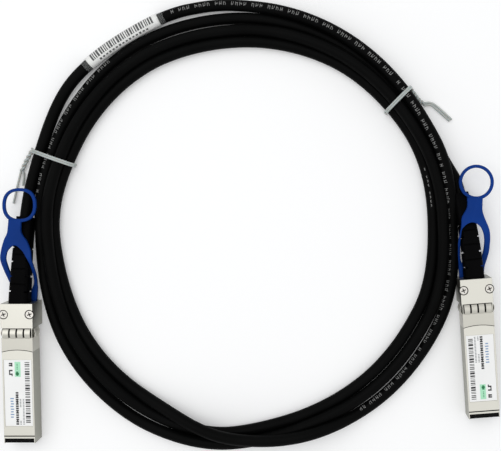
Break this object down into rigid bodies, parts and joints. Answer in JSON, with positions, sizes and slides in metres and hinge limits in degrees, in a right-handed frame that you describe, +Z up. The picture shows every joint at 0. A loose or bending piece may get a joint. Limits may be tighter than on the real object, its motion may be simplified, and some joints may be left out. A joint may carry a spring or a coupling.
{
  "type": "direct attach copper cable",
  "caption": "Coiled black twin-axial cable with a latching metal plug, slotted strain relief and blue pull tab at each end.",
  "frame": {"origin": "on the surface the cable lies on, under the middle of the two plugs with their strain reliefs and pull tabs", "axes": "+X from plug A to plug B, +Y from the plugs' hosts' ends towards the far side of the coil, +Z up"},
  "size_m": [0.2184, 0.2015, 0.0134],
  "materials": {
    "shell": "satin die-cast zinc, plated nickel",
    "spring_steel": "bright sheet",
    "guard": "fine matt",
    "card": "solder mask",
    "gold": "gold plate",
    "potting": "moulded",
    "core": "extruded",
    "brass": "drawn tube",
    "screw": "plated",
    "label": "printed film",
    "steel": "stamped",
    "cable": "satin jacket",
    "boot": "moulded, satin",
    "latch": "die-cast, plated",
    "tab": "moulded, satin",
    "clear_sleeve": "clear shrink tube",
    "tie": "coated wire"
  },
  "bodies": {
    "root": {"top_shell_a": "shell", "bottom_shell_a": "shell", "emi_collar_a": "spring_steel", "card_guard_a": "guard", "paddle_card_a": "card", "card_contacts_a": "gold", "solder_block_a": "potting", "core_wires_a": "core", "crimp_ferrule_a": "brass", "cover_screws_a": "screw", "plug_label_a": "label", "latch_pin_a": "steel", "latch_spring_a": "spring_steel", "cable_end_a": "cable", "strain_relief_a": "boot", "top_shell_b": "shell", "bottom_shell_b": "shell", "emi_collar_b": "spring_steel", "card_guard_b": "guard", "paddle_card_b": "card", "card_contacts_b": "gold", "solder_block_b": "potting", "core_wires_b": "core", "crimp_ferrule_b": "brass", "cover_screws_b": "screw", "plug_label_b": "label", "latch_pin_b": "steel", "latch_spring_b": "spring_steel", "cable_end_b": "cable", "strain_relief_b": "boot", "cable_lead_a": "cable", "cable_coil": "cable", "cable_lead_b": "cable", "cable_sleeve": "clear_sleeve", "cable_marker": "label", "tie_left": "tie", "tie_right": "tie"},
    "pull_tab_body_a": {"pull_tab_a": "tab", "latch_slider_a": "steel"},
    "latch_body_a": {"latch_rocker_a": "latch"},
    "pull_tab_body_b": {"pull_tab_b": "tab", "latch_slider_b": "steel"},
    "latch_body_b": {"latch_rocker_b": "latch"}
  },
  "joints": [
    {"name": "pull_a", "type": "slide", "parent": "root", "child": "pull_tab_body_a", "axis": [0, 0.9977, 0.0685], "range_m": [0, 0.0025], "stiffness_N_per_m": 500},
    {"name": "latch_a", "type": "hinge", "parent": "root", "child": "latch_body_a", "pos_m": [-0.10155, -0.00844, 0.00268], "axis": [-1, 0, 0], "range_deg": [0, 6.12], "deforming": ["latch_spring_a"]},
    {"name": "pull_b", "type": "slide", "parent": "root", "child": "pull_tab_body_b", "axis": [-0.0748, 0.9948, 0.0685], "range_m": [0, 0.0025], "stiffness_N_per_m": 500},
    {"name": "latch_b", "type": "hinge", "parent": "root", "child": "latch_body_b", "pos_m": [0.09849, 0.00237, 0.00268], "axis": [-0.9972, -0.075, 0], "range_deg": [0, 6.12], "deforming": ["latch_spring_b"]}
  ],
  "couplings": [
    {"joint": "latch_a", "follows": "pull_a", "rad_per_m": 42.6},
    {"joint": "latch_b", "follows": "pull_b", "rad_per_m": 42.6}
  ]
}
